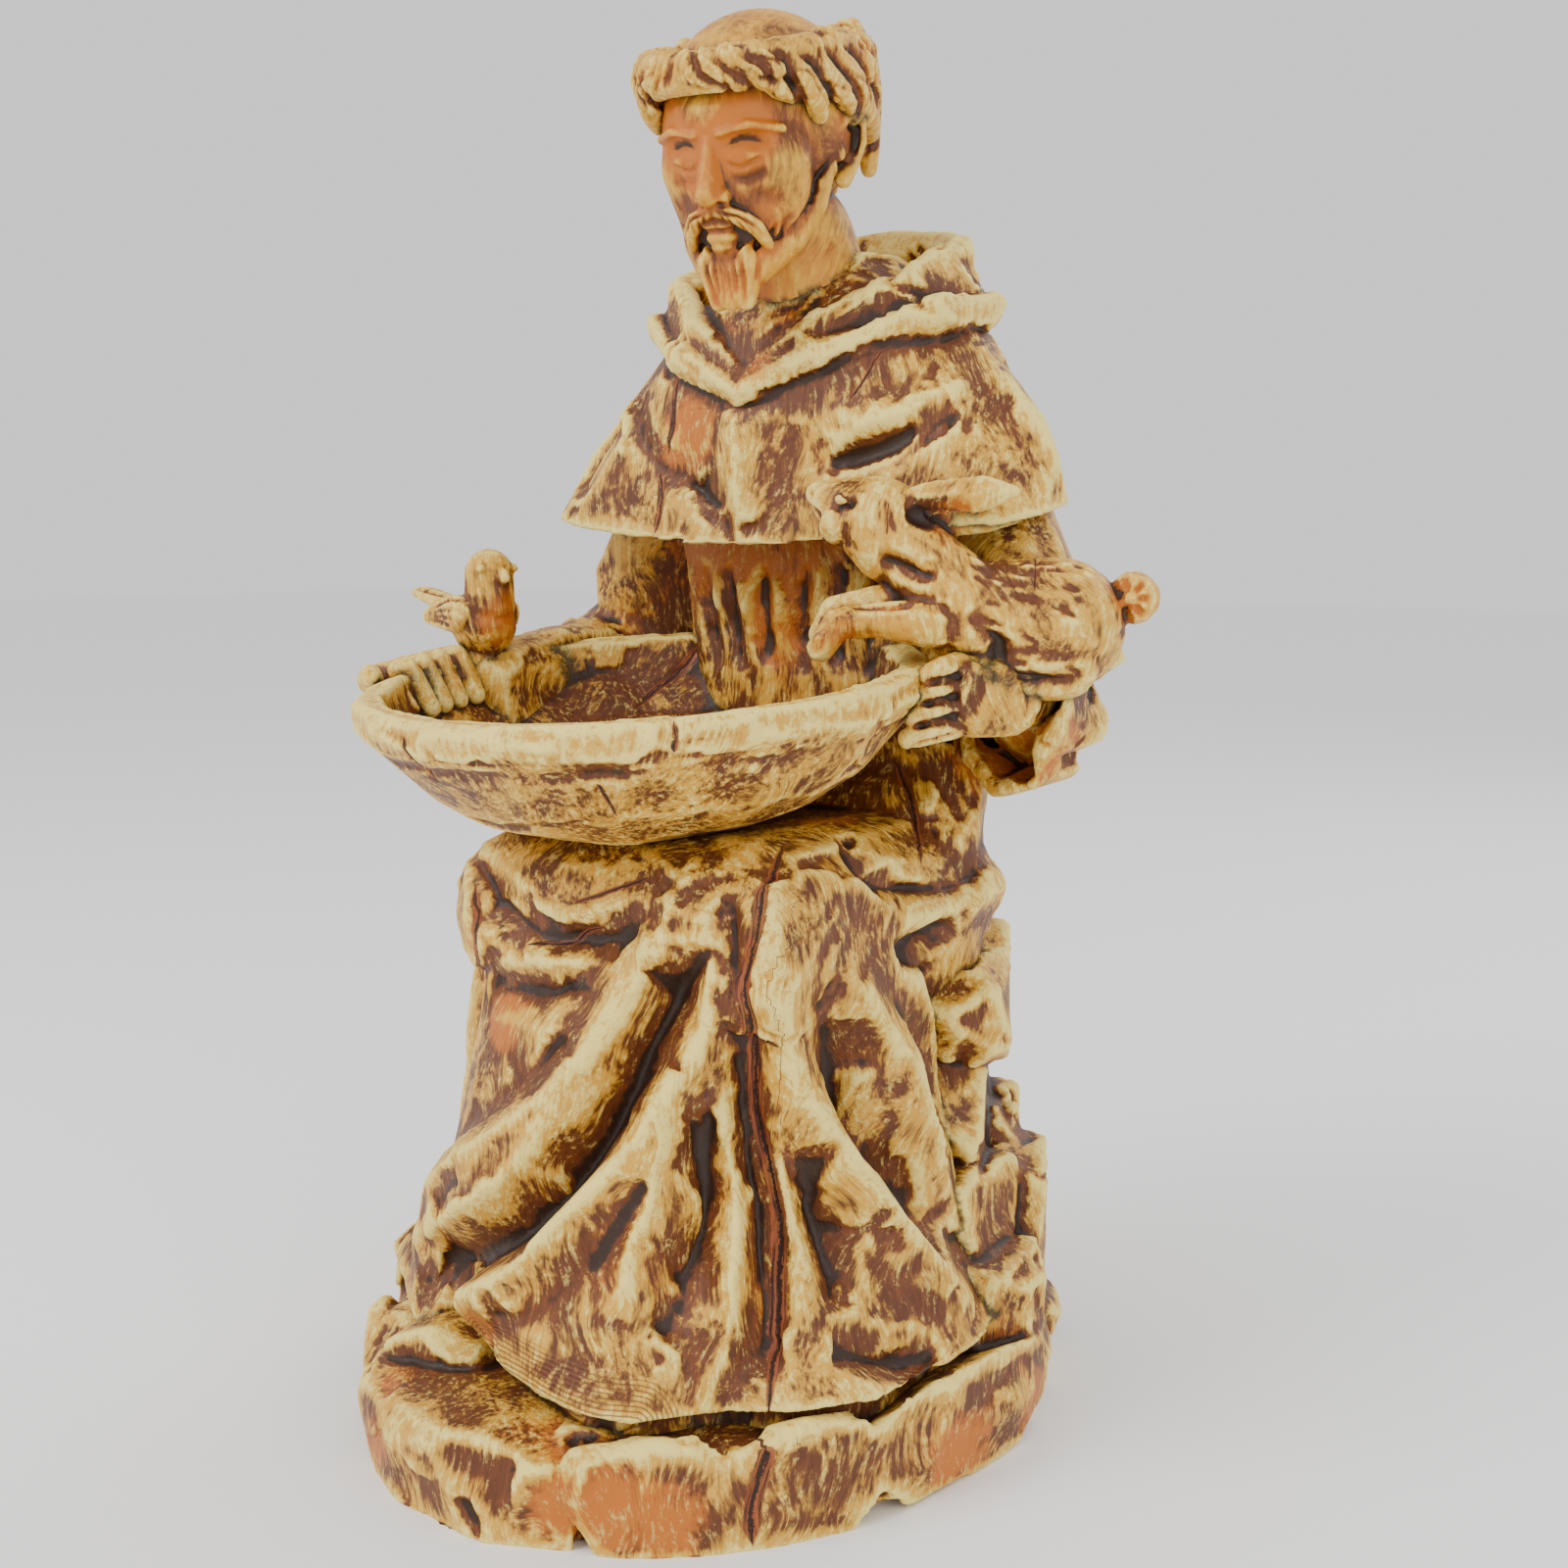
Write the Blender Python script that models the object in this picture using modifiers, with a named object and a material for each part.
"""Garden statue of a seated friar who holds a bowl, with a rabbit on one arm and a bird on the rim.

The statue is one casting, so it is one solid. Its forms are blocked out with balls, hulls, lofts and
turned shapes, fused with a voxel Remesh, and then folds and locks are carved into the skin.
The friar faces -Y, +Z is up, and the origin is the middle of the underside of the base.
"""

import math
import random

import bmesh
import bpy
import numpy as np
from mathutils import Matrix, Vector
from mathutils.bvhtree import BVHTree
from mathutils.kdtree import KDTree

# Driving sizes, in metres.
STATUE_HEIGHT = 0.360
BASE_WIDTH = 0.174
BASE_DEPTH = 0.208
BASE_THICKNESS = 0.024
BOWL_RADIUS = 0.072
BOWL_DEPTH = 0.036
BOWL_WALL = 0.0065
BOWL_TILT = math.radians(6.3)
RIM_BAND = 0.010

# How fine the clay is, and how many triangles the finished solid may have.
VOXEL = 0.0020
MOST_TRIANGLES = 9400

# The figure is posed in model millimetres: 336 of them from the top of the base to the crown.
MM = (STATUE_HEIGHT - BASE_THICKNESS) / 336

RESIN = (0.36, 0.20, 0.10, 1.0)


def at(x, y, z):
    """A point of the figure, from model millimetres above a base 24 thick."""
    return Vector((x * MM, y * MM, BASE_THICKNESS + (z - 24) * MM))


class Clay:
    """Closed solids that will be fused into one skin."""

    def __init__(self):
        self.soft = bmesh.new()

    def add(self, other):
        spare = bpy.data.meshes.new("spare")
        other.to_mesh(spare)
        other.free()
        self.soft.from_mesh(spare)
        bpy.data.meshes.remove(spare)

    def hull(self, *balls):
        """The skin stretched over balls, each (point, radius) or (point, (rx, ry, rz), turn)."""
        shape = bmesh.new()
        for ball in balls:
            centre, radii = ball[0], ball[1]
            turn = ball[2] if len(ball) > 2 else Matrix.Identity(3)
            if not hasattr(radii, "__len__"):
                radii = (radii, radii, radii)
            size = Matrix.Diagonal([r * MM for r in radii])
            place = Matrix.Translation(at(*centre)) @ (turn @ size).to_4x4()
            bmesh.ops.create_icosphere(shape, subdivisions=3, radius=1.0, matrix=place)
        if len(balls) > 1:
            made = bmesh.ops.convex_hull(shape, input=shape.verts)
            inner = [v for v in made["geom_interior"] if isinstance(v, bmesh.types.BMVert)]
            bmesh.ops.delete(shape, geom=inner, context="VERTS")
        self.add(shape)

    def limb(self, points):
        """A tapering limb through (x, y, z, radius) points."""
        for a, b in zip(points, points[1:]):
            self.hull((a[:3], a[3]), (b[:3], b[3]))

    def stone(self, low, high, seed, turn=0.0, rough=0.13, limit=200, within=None):
        """A chiselled stone in a box: the hull of points that lie unevenly on a rounded block.

        The pile narrows to the back: no point lies past |x - 10| + 0.55 y = limit, or outside the
        ellipse with the half sizes of within."""
        rng = random.Random(seed)
        shape = bmesh.new()
        middle = Vector([(a + b) / 2 for a, b in zip(low, high)])
        half = [(b - a) / 2 for a, b in zip(low, high)]
        spin = Matrix.Rotation(turn, 3, "Z")
        for i in range(26):
            up = 1 - 2 * (i + 0.5) / 26
            angle = i * math.pi * (3 - math.sqrt(5)) + rng.uniform(-0.3, 0.3)
            flat = math.sqrt(1 - up * up)
            ray = Vector((flat * math.cos(angle), flat * math.sin(angle), up))
            size = sum(abs(c) ** 5 for c in ray) ** -0.2 * rng.uniform(1 - rough, 1 + rough / 2)
            point = middle + spin @ Vector([c * h * min(size, 1.5) for c, h in zip(ray, half)])
            past = max(0.0, abs(point.x - 10) + 0.55 * point.y - limit) / 1.3
            point -= Vector((math.copysign(past, point.x - 10), 0.55 * past, 0))
            if within:
                over = max(1.0, math.hypot(point.x / within[0], point.y / within[1]))
                point.x, point.y = point.x / over, point.y / over
            bmesh.ops.create_vert(shape, co=at(*point))
        made = bmesh.ops.convex_hull(shape, input=shape.verts)
        inner = [v for v in made["geom_interior"] if isinstance(v, bmesh.types.BMVert)]
        bmesh.ops.delete(shape, geom=inner, context="VERTS")
        self.add(shape)

    def loft(self, rings):
        """A closed skin through rings of equally many points, with flat ends."""
        shape = bmesh.new()
        loops = []
        for ring in rings:
            verts = [shape.verts.new(p) for p in ring]
            loops.append([shape.edges.new((a, b)) for a, b in zip(verts, verts[1:] + verts[:1])])
        for low, high in zip(loops, loops[1:]):
            bmesh.ops.bridge_loops(shape, edges=low + high)
        bmesh.ops.holes_fill(shape, edges=loops[0] + loops[-1])
        bmesh.ops.recalc_face_normals(shape, faces=shape.faces)
        self.add(shape)

    def fused(self, name, voxel, smoothing):
        """The clay as one object with one skin."""
        mesh = bpy.data.meshes.new(name)
        self.soft.to_mesh(mesh)
        self.soft.free()
        clay = bpy.data.objects.new(name, mesh)
        bpy.context.scene.collection.objects.link(clay)
        skin = clay.modifiers.new("skin", "REMESH")
        skin.mode = "VOXEL"
        skin.voxel_size = voxel
        if smoothing:
            soften = clay.modifiers.new("soften", "SMOOTH")
            soften.factor = 0.5
            soften.iterations = smoothing
        return applied(clay)


def applied(obj):
    """The object with its modifiers made part of its mesh."""
    graph = bpy.context.evaluated_depsgraph_get()
    mesh = bpy.data.meshes.new_from_object(obj.evaluated_get(graph))
    obj.modifiers.clear()
    obj.data = mesh
    return obj


def outer_shell(obj):
    """Drops every loose piece of the mesh but the largest: those are closed pockets inside it."""
    bm = bmesh.new()
    bm.from_mesh(obj.data)
    unseen, shells = set(bm.verts), []
    while unseen:
        stack, shell = [unseen.pop()], []
        while stack:
            vert = stack.pop()
            shell.append(vert)
            for edge in vert.link_edges:
                other = edge.other_vert(vert)
                if other in unseen:
                    unseen.remove(other)
                    stack.append(other)
        shells.append(shell)
    shells.sort(key=len)
    for shell in shells[:-1]:
        bmesh.ops.delete(bm, geom=shell, context="VERTS")
    bm.to_mesh(obj.data)
    bm.free()
    return obj


def oval(cx, cy, z, a, b, count=64, power=2.3, lift=None, wave=None):
    """A ring of points round (cx, cy): a superellipse with half sizes a and b."""
    ring = []
    for i in range(count):
        t = 2 * math.pi * i / count
        c, s = math.cos(t), math.sin(t)
        r = (abs(c) ** power + abs(s) ** power) ** (-1 / power)
        grow = 1 + (wave(t) if wave else 0.0)
        ring.append(at(cx + a * r * c * grow, cy + b * r * s * grow, z + (lift(t) if lift else 0.0)))
    return ring



def plan(z, x_span, y_span, widest, front=2.4, back=1.5, count=64):
    """A ring with straight spans: it is widest at one depth, and its back corners are cut."""
    cx, a = (x_span[0] + x_span[1]) / 2, (x_span[1] - x_span[0]) / 2
    ring = []
    for i in range(count):
        t = 2 * math.pi * i / count
        c, s = math.cos(t), math.sin(t)
        power, b = (back, y_span[1] - widest) if s > 0 else (front, widest - y_span[0])
        r = (abs(c) ** power + abs(s) ** power) ** (-1 / power)
        ring.append(at(cx + a * r * c, widest + b * r * s, z))
    return ring


def block_base(clay):
    """The ground slab, with a wavy chiselled edge."""
    half_x, half_y = BASE_WIDTH / 2 / MM, BASE_DEPTH / 2 / MM
    thick = BASE_THICKNESS / MM

    def wavy(t):
        return 0.018 * math.sin(3 * t + 0.6) + 0.016 * math.sin(7 * t + 2.0) + 0.010 * math.sin(11 * t)

    levels = ((0.0, 0.93), (0.18, 0.965), (0.55, 0.995), (0.8, 0.985), (0.98, 0.93), (1.06, 0.80))
    clay.loft([
        oval(0, 0, 24 + (share - 1) * thick, half_x * grow, half_y * grow, power=1.95, wave=wavy)
        for share, grow in levels
    ])


def block_seat(clay):
    """The pile of stones that the friar sits on: how far it spreads, then the boxes, row by row."""
    within = (BASE_WIDTH / 2 / MM, BASE_DEPTH / 2 / MM)
    clay.stone((-42, 10, 12), (58, 86, 112), seed=3, rough=0.08, limit=70)
    rows = (
        (78, (-53, 10, 88, -18, 56, 119), (-50, 36, 87, -6, 92, 118), (-24, 62, 90, 40, 107, 119),
         (18, 46, 86, 62, 96, 120), (38, 14, 90, 73, 60, 119)),
        (71, (-48, 16, 60, -14, 58, 92), (-50, 38, 56, -4, 90, 90), (-22, 60, 58, 38, 100, 93),
         (16, 44, 60, 62, 92, 92), (36, 14, 64, 68, 58, 94)),
        (81, (-58, 12, 34, -20, 58, 66), (-60, 34, 30, -12, 88, 70), (-34, 60, 32, 18, 103, 68),
         (0, 56, 34, 54, 100, 72), (30, 36, 30, 72, 84, 74), (42, 10, 34, 74, 50, 68)),
        (90, (-78, 20, 12, -36, 66, 46), (-70, 48, 12, -16, 92, 58), (-34, 70, 12, 26, 105, 44),
         (14, 62, 12, 62, 102, 48), (44, 34, 12, 84, 78, 64), (54, 4, 14, 82, 44, 46)),
    )
    rocks = ((-92, -46, 0, -70, 34, 41), (-84, -72, 0, -34, -48, 28), (-46, -84, 0, -16, -54, 34),
             (-44, -110, -6, 30, -82, 25), (26, -104, -4, 74, -72, 27), (56, -86, -4, 90, -40, 28),
             (76, -50, 0, 96, 34, 29))
    for i, box in enumerate(rocks):
        clay.stone(box[:3], box[3:], seed=90 + i, turn=0.15 * math.sin(2 * i), rough=0.12, within=within)
    for row, (limit, *boxes) in enumerate(rows):
        for i, box in enumerate(boxes):
            clay.stone(box[:3], box[3:], seed=20 * row + i, turn=0.12 * math.sin(3 * i + row), limit=limit)


# The hem, as the points it passes: it is lobed where the folds end, and rises at the left of the front lobe.
HEM = ((-78, 14, 34), (-82, -20, 35), (-82, -43, 36), (-62, -57, 32), (-44, -70, 29), (-38, -72, 29),
       (-30, -62, 34), (-24, -65, 40), (-20, -71, 37), (-8, -80, 33), (12, -89, 31), (30, -92, 30),
       (42, -88, 30), (50, -77, 30), (56, -69, 30), (66, -65, 30), (76, -53, 30), (82, -36, 30),
       (83, -15, 30), (81, 5, 31), (75, 24, 33), (58, 37, 34), (20, 40, 34), (-40, 38, 34))


def hem_point(point):
    """The point of the hem that lies in the same direction as a point of the skirt."""
    spots = sorted((math.atan2(y + 20, x), math.hypot(x, y + 20), z) for x, y, z in HEM)
    first, last = spots[0], spots[-1]
    spots = [(last[0] - 2 * math.pi, *last[1:])] + spots + [(first[0] + 2 * math.pi, *first[1:])]
    angles, reaches, heights = zip(*spots)
    angle = math.atan2(point.y / MM + 20, point.x / MM)
    reach, z = np.interp(angle, angles, reaches), np.interp(angle, angles, heights)
    return at(reach * math.cos(angle), reach * math.sin(angle) - 20, z)


def block_body(clay):
    """Torso, lap, skirt and sleeves."""
    torso = ((104, (-44, 58), (4, 93), 34, 1.35), (131, (-49, 63), (-8, 98), 26, 1.28),
             (150, (-46, 60), (6, 97), 30, 1.32), (168, (-38, 55), (24, 95), 40, 1.5),
             (178, (-35, 52), (27, 94), 44, 1.6), (190, (-38, 55), (26, 94), 44, 1.6),
             (212, (-39, 56), (25, 95), 44, 1.6), (236, (-43, 60), (27, 90), 44, 1.7),
             (254, (-44, 60), (28, 84), 46, 1.8), (270, (-31, 49), (26, 74), 46, 1.9),
             (286, (-15, 33), (26, 62), 44, 2.0))
    clay.loft([plan(z, xs, ys, widest, back=back) for z, xs, ys, widest, back in torso])
    clay.hull(((-27, 36, 134), 23), ((39, 34, 135), 23), ((-27, -36, 133), 24), ((38, -38, 134), 24))
    skirt = ((150, (-46, 56), (-55, 24), -15), (138, (-50, 61), (-62, 28), -17), (122, (-52, 62),
             (-65, 30), -16),
             (106, (-54, 61), (-67, 32), -15), (88, (-55, 62), (-73, 32), -14), (70, (-57, 64),
              (-80, 32), -13),
             (54, (-62, 68), (-87, 33), -12), (41, (-70, 73), (-92, 35), -12), (32, (-80, 79),
              (-94, 37), -12))
    rings = [plan(z, xs, ys, widest, front=2.1, back=2.3) for z, xs, ys, widest in skirt]
    for ring, share in zip(rings[-4:], (0.15, 0.45, 0.85, 1.0)):
        ring[:] = [p.lerp(hem_point(p), share) for p in ring]
    under = [[at(*middle).lerp(p, 0.90) for p in rings[-1]] for middle in ((0, -15, 30), (0, -15, 16))]
    for ring, z in zip(under, (31, 16)):
        for p in ring:
            p.z = min(p.z, at(0, 0, z).z)
    clay.loft(rings + under)
    clay.hull(((-50, 50, 242), 13), ((-67, 52, 206), 17), ((-46, 62, 206), 15))
    clay.hull(((-68, 52, 204), 17), ((-69, 58, 192), 16), ((-70, 38, 182), 15), ((-50, 60, 190), 13))
    clay.hull(((-70, 56, 192), 16), ((-70, 34, 186), 16), ((-70, -10, 190), 10), ((-62, -3, 144), 5))
    clay.hull(((56, 44, 242), 13), ((72, 36, 208), 15), ((56, 66, 212), 15))
    mouth = ((90, 27, 202), (88, 25, 184), (80, 26, 168), (68, 29, 165), (57, 33, 173), (52, 40, 184))
    for (a, b, c), (d, e, f) in zip(mouth, mouth[1:]):
        clay.hull(((a, b, c), 2.4), ((d, e, f), 2.4), ((a - 4, b + 24, c + 1), 3),
         ((d - 4, e + 24, f + 1), 3))
    clay.hull(((74, 46, 204), 14), ((55, 66, 208), 15), ((52, 68, 192), 15), ((70, 48, 184), 14))


def block_cape(clay):
    """The shoulder cape, with pointed sides and a hem that hangs lower in front."""
    rings = ((302, (-13, 31), (20, 57), 37), (291, (-27, 45), (11, 69), 40), (278, (-42, 58), (7, 78), 40),
             (264, (-55, 69), (5, 86), 38), (251, (-65, 77), (5, 90), 34), (241, (-74, 81), (4, 95), 32),
             (236, (-77, 83), (3, 97), 31))
    loops = []
    for z, x_span, y_span, widest in rings:
        fall = (302 - z) / 66
        ring = plan(z, x_span, y_span, widest, front=2.1, back=1.52)
        for i, point in enumerate(ring):
            t = 2 * math.pi * i / len(ring)
            s = math.sin(t)
            point.z += fall * MM * (3 * max(0.0, s) - 9 * max(0.0, -s) ** 1.5 + 0.8 * math.sin(5 * t))
        loops.append(ring)
    clay.loft(loops)


def block_collar(clay):
    """The folded hood round the neck, open in a V in front: two rolls on a band."""
    low = ((4, 5, 266, 3), (-16, 9, 276, 5), (-34, 24, 286, 6), (-34, 46, 289, 6.5), (-16, 62, 287, 7),
           (10, 66, 286, 7.5), (36, 61, 287, 7), (52, 44, 288, 6.5), (50, 24, 285, 6), (25, 9, 275, 5),
           (4, 5, 266, 3))
    high = ((4, 7, 270, 2.5), (-14, 11, 283, 4), (-31, 26, 295, 4), (-29, 45, 302, 4.5), (-12, 57, 305, 5),
            (10, 60, 307, 5), (32, 56, 305, 5), (46, 43, 302, 4.5), (45, 25, 294, 4), (24, 11, 282, 4),
            (4, 7, 270, 2.5))
    clay.limb(low)
    clay.limb(high)
    for (a, b), (c, d) in zip(zip(low, low[1:]), zip(high, high[1:])):
        clay.hull(*(((x, y, z), r * 0.55) for x, y, z, r in (a, b, c, d)))


class Pose:
    """Turns points of a small model, such as the head, into points of the figure."""

    def __init__(self, origin, yaw=0.0, pitch=0.0, roll=0.0):
        self.origin = Vector(origin)
        self.turn = (Matrix.Rotation(math.radians(yaw), 3, "Z")
                     @ Matrix.Rotation(math.radians(pitch), 3, "X")
                     @ Matrix.Rotation(math.radians(roll), 3, "Y"))

    def __call__(self, x, y, z):
        return tuple(self.origin + self.turn @ Vector((x, y, z)))

    def ball(self, x, y, z, rx, ry=None, rz=None):
        return (self(x, y, z), (rx, ry or rx, rz or ry or rx), self.turn)

    def limb(self, points):
        return [(*self(*p[:3]), p[3]) for p in points]


HEAD = Pose((10.5, 3.5, 326.4), yaw=8, pitch=16)


def block_head(clay):
    """Bowed head: bald crown, a ring of hair, ears, nose, moustache and short forked beard."""
    clay.hull(HEAD.ball(0, 5, 7, 24.5, 30, 26))
    clay.hull(HEAD.ball(0, -5, 0, 19.5, 21.5, 20), HEAD.ball(0, -13, -22, 11, 12, 8))
    clay.limb([(12, 34, 284, 16), (11, 20, 306, 15)])
    clay.hull(HEAD.ball(0, -26, 3, 2.4), HEAD.ball(0, -32, -8, 2.6), HEAD.ball(0, -24, -9, 4.6, 4, 2.4))
    for s in (-1, 1):
        clay.hull(HEAD.ball(s * 12, -18, -7, 6))
        clay.hull(HEAD.ball(s * 4, -25.5, 5, 3, 2, 1.6), HEAD.ball(s * 15, -21, 5, 3, 2, 1.6))
        clay.hull(HEAD.ball(s * 8.5, -22.2, 0, 4.4, 3.2, 3))
        clay.hull(HEAD.ball(s * 24, 3, -1, 2.4, 4.4, 6), HEAD.ball(s * 22, 1, -9, 1.8, 3, 3))
        clay.limb(HEAD.limb([(s * 1.5, -28, -12, 2.2), (s * 7, -26.5, -13.5, 2.6), (s * 11, -23, -19, 1.8)]))
        clay.limb(HEAD.limb([(s * 20, -3, -8, 3.4), (s * 16, -11, -19, 4.4), (s * 7, -20, -26, 5.4)]))
        clay.limb(HEAD.limb([(s * 4, -24, -24, 5), (s * 3.4, -25, -33, 3)]))
    clay.limb(HEAD.limb([(-3, -26.5, -16.5, 1.6), (3, -26.5, -16.5, 1.6)]))
    block_hair(clay)


def hair_locks():
    """Each lock as the points of its spine: short waves combed round the bald crown."""
    rng = random.Random(5)
    locks = []
    count = 30
    for i in range(count):
        t = 2 * math.pi * (i + 0.5) / count
        front, back = max(0.0, -math.sin(t)), max(0.0, math.sin(t))
        sweep = (0.26 if math.cos(t) > -0.25 else -0.22) * (1 - 0.5 * back)
        fall = 5.5 * rng.uniform(0.75, 1.25) + 16 * back + 6 * abs(math.cos(t)) ** 2
        curl = rng.uniform(-0.06, 0.06)

        def spot(share, reach, lean, thick):
            a = t + lean
            down = 23.5 - share * fall - 3 * back
            return (*HEAD(reach * 25.4 * math.cos(a), 5 + reach * 31 * math.sin(a), down), thick)

        locks.append([spot(-0.25, 0.88, -sweep * 0.9, 2.0), spot(0.0, 1.04, -sweep * 0.3, 3.0),
                      spot(0.45, 1.10, sweep * 0.5, 3.3), spot(0.85, 1.09, sweep * 0.9 + curl, 3.0),
                      spot(1.2, 1.05, sweep * 0.5 + curl, 2.4), spot(1.5, 1.0, curl - sweep * 0.3, 1.6)])
    return locks


def block_hair(clay):
    """A band of hair round the head, with the locks standing out of it."""
    band = []
    for i in range(33):
        t = 2 * math.pi * i / 32
        front, back, flank = max(0.0, -math.sin(t)), max(0.0, math.sin(t)), abs(math.cos(t))
        low = 19 - 20 * back - 9 * flank * (1 - front)
        band.append((HEAD(25 * math.cos(t), 5 + 30.5 * math.sin(t), 22 - 5 * back),
                     HEAD(25.3 * math.cos(t), 5 + 31 * math.sin(t), low)))
    for (a, b), (c, d) in zip(band, band[1:]):
        clay.hull((a, 4.4), (b, 3.4), (c, 4.4), (d, 3.4))
    for lock in hair_locks():
        clay.limb(lock)


def block_rabbit(clay):
    """The rabbit that lies along the left forearm, with its forepaws on the rim."""
    clay.hull(((84, 29, 207), (17, 17, 17)), ((68, 14, 210), (13, 13, 13)))
    clay.hull(((67, 12, 212), 12), ((53, 4, 228), 9))
    clay.hull(((48, 3, 233), (11, 10, 11)), ((50, 3, 227), 9), ((36, 1, 237), 5.5), ((32, 0, 239.5), 3.4))
    for spread, rise in ((-3.5, -3.5), (4.5, 1.5)):
        ear = [(53, 4, 236), (62, 10, 237), (70, 15, 238), (77, 19, 238)]
        across = Vector((0.5 * spread, -0.9 * spread, rise))
        turn = Matrix.Rotation(math.radians(34), 3, "Z")
        radii = ((3, 2, 3), (6, 2, 5.2), (5.4, 1.8, 4.4), (1.5, 1.2, 1.2))
        balls = [(tuple(Vector(p) + across * (0.6 + 0.25 * i)), r, turn) for i, (p, r) in
                 enumerate(zip(ear, radii))]
        clay.hull(*balls[:3])
        clay.hull(*balls[1:])
    clay.limb([(64, 2, 208, 6), (54, -6, 209, 4.4), (45, -11, 208, 3.8), (42, -14, 202, 3.4)])
    clay.limb([(58, 8, 214, 5), (48, 1, 213, 4), (40, -5, 211, 3.6), (38, -8, 205, 3.2)])
    clay.hull(((88, 24, 199), (10, 9, 10)), ((74, 10, 195), 6))
    clay.hull(((100, 39, 214), 6.5))


def rim(turn, out=0.0, up=0.0):
    """A point of the bowl's rim, in model millimetres: turn is in degrees from +X towards the back."""
    t = math.radians(turn)
    local = Vector((math.cos(t) * (BOWL_RADIUS / MM + out), math.sin(t) * (BOWL_RADIUS / MM + out), up))
    return tuple(BOWL_PLACE + Matrix.Rotation(BOWL_TILT, 3, "X") @ local)


# The bowl stands on the lap, so its rim is one depth above it.
LAP = Vector((-4, -22, 159))
BOWL_PLACE = LAP + Matrix.Rotation(BOWL_TILT, 3, "X") @ Vector((0, 0, BOWL_DEPTH / MM))


def block_bird(clay):
    """The small bird on the rim, with its tail outwards."""
    bird = Pose(Vector(rim(170, out=-4, up=0)), yaw=-14)
    clay.hull(bird.ball(2, 0, 9, 9.5, 8.5, 9), bird.ball(-6, 0, 12, 6, 6, 5))
    clay.hull(bird.ball(5, 0, 14, 7), bird.ball(5, 0, 23, 6.6))
    clay.hull(bird.ball(9, 0, 23, 3), bird.ball(13.5, 0, 21.5, 1))
    clay.hull(bird.ball(-10, 0, 13, 3.6, 4, 3), bird.ball(-30, 1, 17, 3, 4.2, 1.8))
    for s in (-1, 1):
        clay.hull(bird.ball(0, s * 7.5, 12, 7, 3, 5.4), bird.ball(-15, s * 6, 11, 3.4, 2, 2.6))
    clay.hull(bird.ball(0, 0, 0, 7, 6, 5))


def left_hand(clay):
    """The hand under the rabbit: a palm beside the bowl, and fingers round its wall."""
    palm = Vector(rim(24, out=11, up=-8))
    back = palm + Vector((6, 8, 0))
    clay.hull((tuple(palm), (7.5, 8, 10.5)), (tuple(back), (8, 8, 10.5)))
    clay.hull((tuple(back), (7, 8, 9)), ((74, 42, 190), (9, 8, 9)))
    for i in range(4):
        low = 5.0 * i
        root = palm + Vector((-2 - 0.3 * i, -4, 7.6 - low))
        tip = Vector(rim(18 - i, out=1.6 - 1.6 * i, up=-1.5 - low))
        middle = root.lerp(tip, 0.6) + Vector((1.6, -1.8, 0.4))
        clay.limb([(*root, 3.3), (*middle, 3.0), (*tip, 2.6)])


def right_hand(clay):
    """The hand that holds the far side of the rim: fingers inside, thumb on the lip."""
    hold = Vector(rim(186, out=8, up=-8))
    clay.hull(((-68, 8, 190), (7, 9, 9)), (tuple(hold), (5, 9, 7)))
    for i in range(4):
        start = Vector(rim(176 + 6 * i, out=4, up=0))
        tip = Vector(rim(177 + 6 * i, out=-10, up=-9))
        clay.limb([(*start, 3.3), (*Vector(rim(177 + 6 * i, out=-4, up=1.5)), 3.2), (*tip, 2.6)])
    clay.limb([(*hold, 5), (*rim(198, out=5, up=-1), 3.6), (*rim(204, out=1, up=2.0), 2.8)])


def turned(name, profile, tilt_about):
    """A turned solid from (radius, height) points that run down the outer side, on the bowl's axis."""
    mesh = bpy.data.meshes.new(name)
    points = [(r, 0.0, z) for r, z in profile]
    mesh.from_pydata(points, [(i, i + 1) for i in range(len(points) - 1)], [])
    obj = bpy.data.objects.new(name, mesh)
    bpy.context.scene.collection.objects.link(obj)
    spin = obj.modifiers.new("turn", "SCREW")
    spin.steps = spin.render_steps = 96
    spin.use_merge_vertices = True
    spin.merge_threshold = 0.00005
    applied(obj)
    obj.data.transform(Matrix.Translation(at(*tilt_about)) @ Matrix.Rotation(BOWL_TILT, 4, "X"))
    return obj


def bowl_outside():
    r, d = BOWL_RADIUS, BOWL_DEPTH
    return [(0, 0), (r * 0.98, 0), (r, -0.0015), (r * 0.995, -RIM_BAND * 0.75), (r * 0.95, -RIM_BAND),
            (r * 0.90, -d * 0.42), (r * 0.78, -d * 0.68), (r * 0.60, -d * 0.90), (r * 0.45, -d), (0, -d)]


def bowl_hollow():
    r, d, w = BOWL_RADIUS - BOWL_WALL, BOWL_DEPTH, BOWL_WALL
    over = 4 * MM
    return [(0, over), (r, over), (r * 0.995, -0.001), (r * 0.955, -d * 0.28), (r * 0.84, -d * 0.55),
            (r * 0.62, -d * 0.76), (r * 0.30, -(d - w) * 0.99), (0, -(d - w))]


# Carving. A stroke is a line on the skin that raises a ridge or sinks a groove beside it.
def stroke(points, width, height, sharp=1.0, taper=0.35):
    return {"points": points, "width": width, "height": height, "sharp": sharp, "taper": taper}


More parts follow.
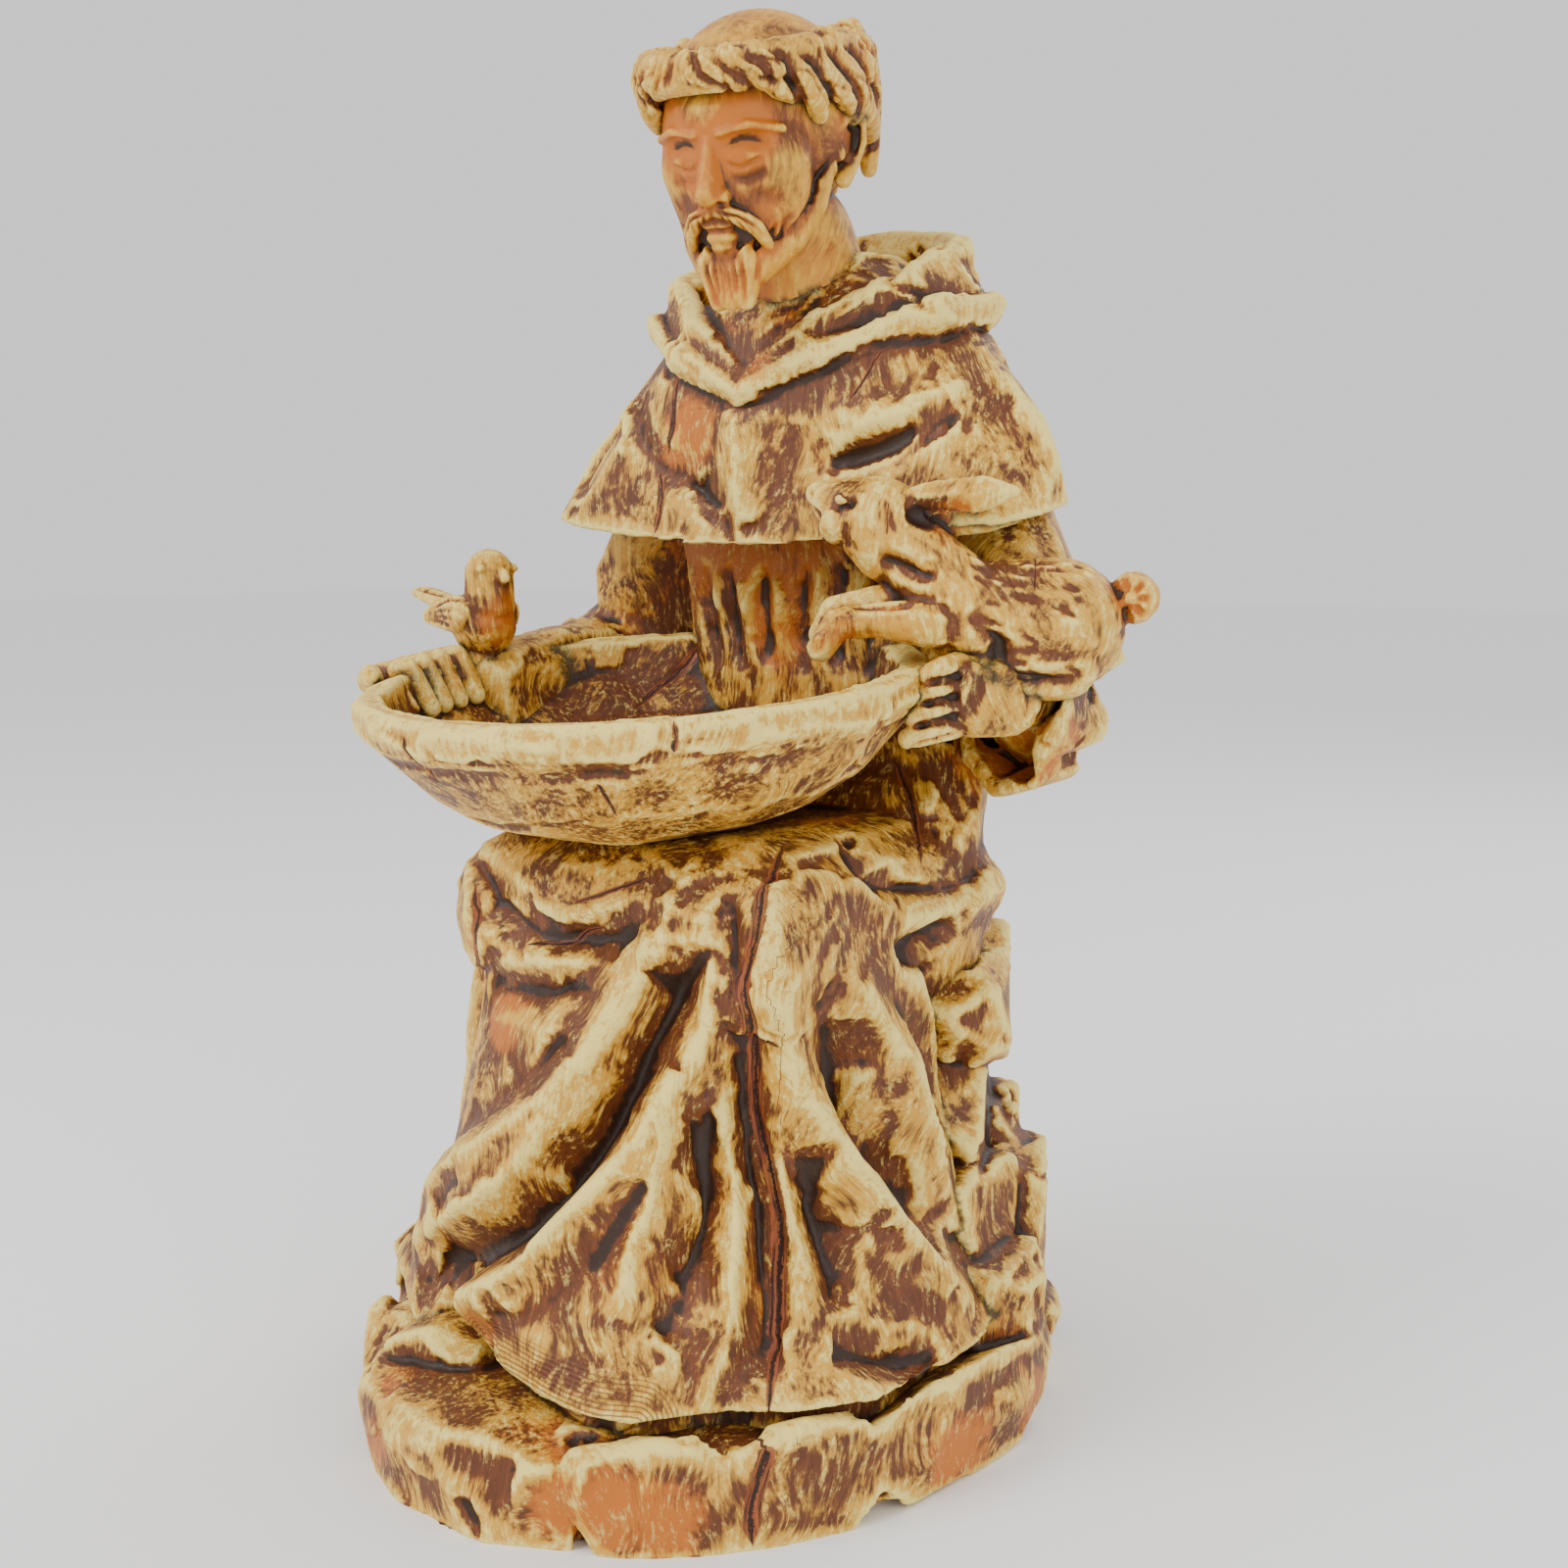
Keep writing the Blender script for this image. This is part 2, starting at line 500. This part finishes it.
def smooth_line(points, step=0.5):
    """Points along a Catmull-Rom curve through the given ones."""
    p = [Vector(q) for q in points]
    if len(p) == 2:
        p.insert(1, (p[0] + p[1]) / 2)
    p = [p[0] * 2 - p[1]] + p + [p[-1] * 2 - p[-2]]
    out = []
    for a, b, c, d in zip(p, p[1:], p[2:], p[3:]):
        count = max(2, int((c - b).length / step))
        for i in range(count):
            t = i / count
            out.append(0.5 * (2 * b + (c - a) * t + (2 * a - 5 * b + 4 * c - d) * t * t
                              + (3 * b - a - 3 * c + d) * t ** 3))
    out.append(p[-2])
    return out


def skirt_folds():
    """Folds that fan out from the left knee, those round the right thigh, and the hollows between."""
    ridges = [
        (7.0, 6.0, (34, -50, 154), (32, -60, 142), (25, -61, 128), (8, -69, 100), (-5, -72, 87),
         (-24, -71, 76), (-50, -66, 62), (-70, -56, 50)),
        (5.5, 4.5, (30, -62, 124), (16, -68, 99), (6, -74, 86), (-9, -77, 73), (-34, -72, 58),
         (-62, -58, 42)),
        (7.0, 7.5, (48, -59, 130), (39, -57, 116), (33, -61, 102), (28, -68, 88), (21, -75, 76),
         (12, -81, 64),
         (3, -84, 55), (-10, -78, 48), (-22, -70, 42)),
        (4.5, 3.5, (34, -60, 107), (34, -64, 91), (33, -69, 77), (31, -76, 64), (33, -82, 50)),
        (4.0, 4.0, (43, -54, 115), (44, -56, 95), (47, -58, 79), (49, -62, 61), (52, -68, 46),
         (52, -76, 32)),
        (8.0, 7.5, (50, -46, 150), (54, -53, 136), (54, -50, 122), (53, -46, 110), (55, -41, 96),
         (60, -34, 82), (64, -25, 67), (70, -12, 51), (78, 1, 36)),
        (6.5, 5.5, (61, -30, 128), (61, -22, 116), (61, -10, 101), (61, -2, 86), (64, 5, 70), (70, 10, 54)),
        (6.0, 4.5, (62, -10, 126), (58, 8, 111), (58, 16, 96), (62, 16, 81), (67, 18, 65), (76, 20, 42)),
        (6.0, 4.5, (-48, -40, 134), (-52, -38, 106), (-58, -34, 76), (-68, -28, 52), (-80, -30, 38)),
        (6.0, 4.5, (-50, -20, 126), (-54, -12, 100), (-58, -2, 70), (-68, 4, 46), (-78, 6, 36)),
        (6.0, 4.0, (-52, 30, 124), (-56, 4, 122), (-54, -28, 132), (-46, -50, 142)),
        (5.0, 4.0, (-23, -59, 137), (-6, -63, 129), (12, -63, 128), (29, -61, 135)),
        (6.0, 4.0, (62, 46, 140), (64, 24, 138), (60, -6, 140)),
    ]
    valleys = [
        (7.5, -8.0, (41, -61, 136), (29, -61, 117), (22, -66, 101), (16, -72, 87), (5, -78, 74),
         (-11, -82, 61),
         (-32, -76, 48), (-50, -68, 36)),
        (6.0, -5.0, (40, -59, 96), (43, -61, 77), (43, -70, 61), (42, -78, 46)),
        (4.0, -4.0, (44, -54, 146), (48, -57, 134), (45, -58, 120)),
        (5.0, -6.0, (46, -52, 115), (46, -52, 100), (49, -53, 86), (53, -53, 72), (56, -56, 55),
         (58, -62, 36)),
        (6.5, -8.0, (59, -32, 115), (59, -31, 102), (61, -25, 86), (64, -16, 71), (70, -6, 54)),
        (5.0, -4.5, (61, -16, 89), (63, -13, 76), (67, -4, 61)),
        (5.5, -5.5, (56, -42, 87), (59, -41, 74), (62, -40, 61), (67, -42, 48)),
        (5.0, -4.5, (68, -48, 42), (76, -34, 36), (80, -18, 34)),
        (5.5, -5.5, (-32, -50, 146), (-29, -57, 142), (-13, -61, 133), (5, -63, 133), (24, -61, 140)),
        (5.0, -4.5, (-30, -57, 116), (-6, -64, 120), (10, -63, 127), (26, -60, 134)),
        (6.5, -5.5, (-44, -50, 124), (-52, -48, 84), (-62, -44, 52)),
        (6.0, -5.5, (-52, -30, 112), (-56, -22, 82), (-66, -14, 50)),
        (6.5, -6.0, (-56, 24, 112), (-56, -8, 114), (-54, -40, 124)),
        (5.0, -4.5, (46, -10, 156), (55, -16, 150), (59, -6, 144), (60, 14, 140), (58, 30, 141)),
        (5.0, -5.0, (60, 18, 132), (61, 6, 127), (60, -10, 126)),
    ]
    return [stroke(points, width, 1.25 * height) for width, height, *points in ridges + valleys]


def body_folds():
    """Belt, pleats on the back, and folds of the sleeves."""
    belt = [(9 + 44 * math.cos(t), 48 + 48 * math.sin(t), 178) for t in
            [math.radians(a) for a in range(-20, 201, 20)]]
    strokes = [stroke(belt, 2.4, -3.6, taper=0.0)]
    for x in (-22, -10, 2, 16, 28, 40):
        lean, y = (x - 9) * 0.3, 94 - abs(x - 9) * 0.7
        strokes.append(stroke([(x, y, 174), (x + lean, y + 3, 150), (x + 1.6 * lean, y, 120)], 4, -3.6))
        strokes.append(stroke([(x + 6, y, 182), (x + 6 + lean * 0.4, y, 205), (x + 7, y, 228)], 4, -3.0))
        strokes.append(stroke([(x + 6, y, 172), (x + 6 + lean, y + 3, 150), (x + 7 + lean, y, 130)], 4, 2.0))
    for s, cx in ((-1, -66), (1, 68)):
        for height, *line in (
                (-4.0, (14, 66, 222), (14, 50, 212), (6, 34, 208)), (3.5, (16, 68, 206), (16, 46, 198),
                 (8, 26, 202)),
                (-4.2, (16, 64, 196), (16, 42, 190), (10, 18, 194)), (3.5, (16, 62, 188),
                 (14, 42, 180), (8, 16, 182)),
                (-4.0, (14, 60, 182), (12, 42, 172), (6, 20, 168)), (2.5, (14, 70, 214), (14, 60, 206),
                 (12, 50, 204))):
            strokes.append(stroke([(cx + s * x, y, z) for x, y, z in line], 5, height))
    strokes.append(stroke([(-74, 6, 200), (-72, 6, 176), (-66, 8, 148)], 3, -3.0))
    for x in (-30, -18, -4, 10, 22, 34):
        strokes.append(stroke([(x, 20, 222), (0.9 * x, 22, 206), (0.8 * x + 2, 24, 192)], 3.5, -2.6))
        strokes.append(stroke([(x + 6, 20, 220), (0.9 * x + 6, 22, 206)], 3, 1.6))
    return strokes


def cape_folds():
    strokes = []
    for x in (-58, -34, 22, 50, 74):
        strokes.append(stroke([(x, 60 + 0.2 * x, 282), (x * 1.1, 88, 262), (x * 1.15, 94, 242)], 5, -2.6))
    strokes.append(stroke([(-44, 16, 268), (-30, 10, 250), (0, 8, 236)], 6, -3.8))
    strokes.append(stroke([(-52, 22, 272), (-40, 12, 256), (-16, 9, 240)], 5, 2.6))
    strokes.append(stroke([(56, 22, 262), (44, 14, 252), (26, 9, 246)], 6, -4.2))
    strokes.append(stroke([(60, 24, 268), (48, 15, 259), (28, 8, 254)], 5, 3.2))
    strokes.append(stroke([(3, 6, 262), (4, 7, 244), (6, 6, 230)], 8, 3.0))
    strokes.append(stroke([(-60, 30, 270), (-70, 30, 250), (-74, 32, 240)], 5, 2.6))
    strokes.append(stroke([(-50, 24, 266), (-62, 22, 248), (-64, 22, 238)], 5, -3.0))
    strokes.append(stroke([(64, 34, 272), (76, 34, 252), (84, 36, 242)], 5, 3.0))
    strokes.append(stroke([(62, 50, 276), (76, 52, 256), (84, 54, 242)], 6, -3.0))
    low = [(-17, 6, 279), (-36, 26, 290), (-32, 50, 295), (10, 66, 296), (52, 50, 295), (50, 24, 289),
     (26, 7, 278)]
    strokes.append(stroke(low, 2.2, -2.4, taper=0.1))
    return strokes


def carve(obj, strokes):
    """Moves each vertex along its normal by what the strokes near it say."""
    mesh = obj.data
    bm = bmesh.new()
    bm.from_mesh(mesh)
    tree = BVHTree.FromBMesh(bm)
    bm.free()
    count = len(mesh.vertices)
    co = np.empty(count * 3)
    mesh.vertices.foreach_get("co", co)
    co = co.reshape(-1, 3)
    normals = np.empty(count * 3)
    mesh.vertices.foreach_get("normal", normals)
    normals = normals.reshape(-1, 3)
    shift = np.zeros(count)
    for one in strokes:
        line = [tree.find_nearest(at(*p))[0] for p in smooth_line(one["points"], step=2.0)]
        line = np.array(line)
        width = one["width"] * MM
        reach = 1.6 * width
        near = np.all((co > line.min(0) - reach) & (co < line.max(0) + reach), axis=1).nonzero()[0]
        if not len(near):
            continue
        a, b = line[:-1], line[1:]
        ab = b - a
        length2 = np.maximum((ab ** 2).sum(1), 1e-12)
        p = co[near]
        t = np.clip(((p[:, None] - a) * ab).sum(2) / length2, 0, 1)
        gap = np.linalg.norm(p[:, None] - (a + t[..., None] * ab), axis=2)
        nearest = gap.argmin(1)
        rows = np.arange(len(near))
        d = gap[rows, nearest] / width
        along = (nearest + t[rows, nearest]) / len(a)
        ends = np.clip(np.minimum(along, 1 - along) / max(one["taper"], 1e-3), 0, 1) ** 0.5
        fall = np.clip(1 - d / 1.6, 0, 1)
        profile = fall ** (1 + one["sharp"]) * (1 + (1 + one["sharp"]) * d / 1.6 * 0.6)
        shift[near] += one["height"] * MM * profile * ends
    mesh.vertices.foreach_set("co", (co + normals * shift[:, None]).ravel())
    mesh.update()


def chisel(obj, facets, reach, seed):
    """Makes the skin a polyhedron of chisel cuts: each vertex goes to the nearest tangent plane near it."""
    mesh = obj.data
    count = len(mesh.vertices)
    co, normals = np.empty(count * 3), np.empty(count * 3)
    mesh.vertices.foreach_get("co", co)
    mesh.vertices.foreach_get("normal", normals)
    co, normals = co.reshape(-1, 3), normals.reshape(-1, 3)
    picks = np.random.default_rng(seed).choice(count, min(facets, count), replace=False)
    seeds = KDTree(len(picks))
    for i, pick in enumerate(picks):
        seeds.insert(co[pick], i)
    seeds.balance()
    shift = np.zeros(count)
    for v in range(count):
        best = reach
        for _, i, _ in seeds.find_n(co[v], 5):
            pick = picks[i]
            facing = normals[v] @ normals[pick]
            if facing > 0.55:
                step = (co[pick] - co[v]) @ normals[pick] / facing
                if abs(step) < abs(best):
                    best = step
        shift[v] = 0.0 if best == reach else best
    mesh.vertices.foreach_set("co", (co + normals * shift[:, None]).ravel())
    mesh.update()


def boolean(obj, other, operation):
    change = obj.modifiers.new(operation.lower(), "BOOLEAN")
    change.operation = operation
    change.object = other
    applied(obj)
    bpy.data.objects.remove(other)


def statue():
    """The finished solid."""
    clay = Clay()
    block_body(clay)
    block_cape(clay)
    soft = clay.fused("cloth", VOXEL, 6)
    carve(soft, skirt_folds() + body_folds() + cape_folds())
    chisel(soft, 1300, 1.5 * MM, seed=7)
    clay = Clay()
    block_head(clay)
    head = clay.fused("head", VOXEL * 0.6, 2)
    clay = Clay()
    block_base(clay)
    block_seat(clay)
    block_collar(clay)
    block_rabbit(clay)
    left_hand(clay)
    right_hand(clay)
    block_bird(clay)
    bowl = turned("bowl", bowl_outside(), BOWL_PLACE)
    clay.soft.from_mesh(bowl.data)
    bpy.data.objects.remove(bowl)
    hard = clay.fused("hard", VOXEL * 0.8, 2)
    chisel(hard, 1500, 1.8 * MM, seed=11)
    whole = Clay()
    for piece in (soft, head, hard):
        whole.soft.from_mesh(piece.data)
        bpy.data.objects.remove(piece)
    made = outer_shell(whole.fused("friar_statue", VOXEL * 0.75, 1))
    boolean(made, turned("hollow", bowl_hollow(), BOWL_PLACE), "DIFFERENCE")
    even = made.modifiers.new("even", "REMESH")
    even.mode = "VOXEL"
    even.voxel_size = VOXEL * 0.75
    outer_shell(applied(made))
    thin = made.modifiers.new("fewer", "DECIMATE")
    thin.ratio = MOST_TRIANGLES / sum(len(f.vertices) - 2 for f in made.data.polygons)
    applied(made)
    # The underside is cut flat just above its lowest point.
    lift = 0.6 * MM
    flat = bmesh.new()
    flat.from_mesh(made.data)
    geometry = flat.verts[:] + flat.edges[:] + flat.faces[:]
    cut = bmesh.ops.bisect_plane(flat, geom=geometry, dist=1e-6, plane_co=(0, 0, lift),
                                 plane_no=(0, 0, 1), clear_inner=True)
    edges = [e for e in cut["geom_cut"] if isinstance(e, bmesh.types.BMEdge)]
    bmesh.ops.holes_fill(flat, edges=edges)
    for v in flat.verts:
        v.co.z -= lift
    flat.to_mesh(made.data)
    flat.free()
    return made


def resin():
    """Cast resin with a brown stain."""
    material = bpy.data.materials.new("stained_resin")
    material.use_nodes = True
    shader = material.node_tree.nodes["Principled BSDF"]
    shader.inputs["Base Color"].default_value = RESIN
    shader.inputs["Roughness"].default_value = 0.6
    shader.inputs["Metallic"].default_value = 0.0
    return material


def main():
    for obj in list(bpy.data.objects):
        bpy.data.objects.remove(obj)
    made = statue()
    made.data.materials.clear()
    made.data.materials.append(resin())
    group = bpy.data.collections.new("friar_statue")
    bpy.context.scene.collection.children.link(group)
    bpy.context.scene.collection.objects.unlink(made)
    group.objects.link(made)


main()
